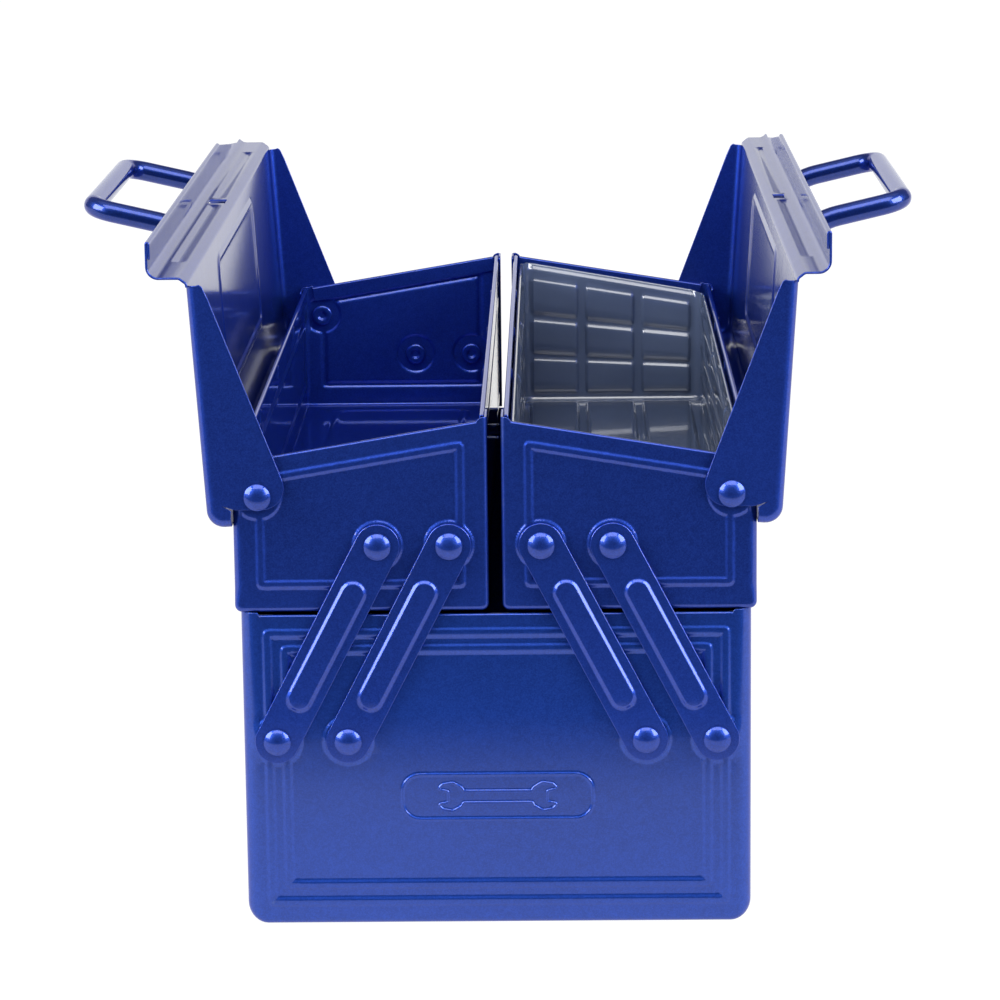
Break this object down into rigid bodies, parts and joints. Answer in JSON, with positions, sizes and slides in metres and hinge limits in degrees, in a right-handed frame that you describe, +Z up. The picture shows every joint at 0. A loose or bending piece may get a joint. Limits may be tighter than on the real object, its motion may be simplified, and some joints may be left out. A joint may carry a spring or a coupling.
{
  "type": "cantilever tool box",
  "caption": "Steel cantilever tool box with two trays on swinging arms, a split roof with a rod handle on each half, and a clear lift-out parts liner.",
  "frame": {"origin": "centre of the base, on the surface the box stands on", "axes": "+Z up, +Y along the length, the front end panel faces -Y, +X to the right as seen from the front"},
  "size_m": [0.28, 0.3584, 0.2209],
  "materials": {
    "case_paint": "gloss metallic blue",
    "tray_paint": "gloss metallic blue",
    "lid_paint": "gloss metallic blue",
    "arm_paint": "gloss metallic blue",
    "rivet_paint": "gloss metallic blue",
    "handle_paint": "gloss metallic blue",
    "liner_plastic": "clear thermoformed plastic"
  },
  "bodies": {
    "case": {"lower_trough": "case_paint", "lower_front_panel": "case_paint", "lower_rear_panel": "case_paint", "lower_arm_rivets_front": "rivet_paint", "lower_arm_rivets_rear": "rivet_paint"},
    "left_outer_arms": {"left_outer_arm_front": "arm_paint", "left_outer_arm_rear": "arm_paint"},
    "left_inner_arms": {"left_inner_arm_front": "arm_paint", "left_inner_arm_rear": "arm_paint"},
    "left_tray": {"left_tray_trough": "tray_paint", "left_tray_front_panel": "tray_paint", "left_tray_rear_panel": "tray_paint", "left_tray_arm_rivets": "rivet_paint", "left_hinge_rivets": "rivet_paint"},
    "left_lid": {"left_lid_shell": "lid_paint", "left_handle": "handle_paint"},
    "right_outer_arms": {"right_outer_arm_front": "arm_paint", "right_outer_arm_rear": "arm_paint"},
    "right_inner_arms": {"right_inner_arm_front": "arm_paint", "right_inner_arm_rear": "arm_paint"},
    "right_tray": {"right_tray_trough": "tray_paint", "right_tray_front_panel": "tray_paint", "right_tray_rear_panel": "tray_paint", "right_tray_arm_rivets": "rivet_paint", "right_hinge_rivets": "rivet_paint"},
    "right_lid": {"right_lid_shell": "lid_paint", "right_handle": "handle_paint"},
    "liner": {"parts_liner": "liner_plastic"}
  },
  "joints": [
    {"name": "left_arm_swing", "type": "hinge", "parent": "case", "child": "left_outer_arms", "pos_m": [-0.0691, 0, 0.0607], "axis": [0, -1, 0], "range_deg": [0, 54.8]},
    {"name": "left_inner_arm_swing", "type": "hinge", "parent": "case", "child": "left_inner_arms", "pos_m": [-0.0468, 0, 0.0607], "axis": [0, -1, 0], "range_deg": [0, 54.8]},
    {"name": "left_tray_level", "type": "hinge", "parent": "left_outer_arms", "child": "left_tray", "pos_m": [-0.03661, 0, 0.12338], "axis": [0, -1, 0], "range_deg": [-54.8, 0]},
    {"name": "left_lid_hinge", "type": "hinge", "parent": "left_tray", "child": "left_lid", "pos_m": [-0.0736, 0, 0.13925], "axis": [0, 1, 0], "range_deg": [0, 85]},
    {"name": "right_arm_swing", "type": "hinge", "parent": "case", "child": "right_outer_arms", "pos_m": [0.0691, 0, 0.0607], "axis": [0, 1, 0], "range_deg": [0, 54.8]},
    {"name": "right_inner_arm_swing", "type": "hinge", "parent": "case", "child": "right_inner_arms", "pos_m": [0.0468, 0, 0.0607], "axis": [0, 1, 0], "range_deg": [0, 54.8]},
    {"name": "right_tray_level", "type": "hinge", "parent": "right_outer_arms", "child": "right_tray", "pos_m": [0.03661, 0, 0.12338], "axis": [0, 1, 0], "range_deg": [-54.8, 0]},
    {"name": "right_lid_hinge", "type": "hinge", "parent": "right_tray", "child": "right_lid", "pos_m": [0.0736, 0, 0.13925], "axis": [0, -1, 0], "range_deg": [0, 85]},
    {"name": "liner_lift", "type": "slide", "parent": "right_tray", "child": "liner", "axis": [0, 0, -1], "range_m": [-0.12, 0]}
  ],
  "couplings": [
    {"joint": "left_inner_arm_swing", "follows": "left_arm_swing", "ratio": 1},
    {"joint": "left_tray_level", "follows": "left_arm_swing", "ratio": -1},
    {"joint": "right_inner_arm_swing", "follows": "right_arm_swing", "ratio": 1},
    {"joint": "right_tray_level", "follows": "right_arm_swing", "ratio": -1}
  ]
}
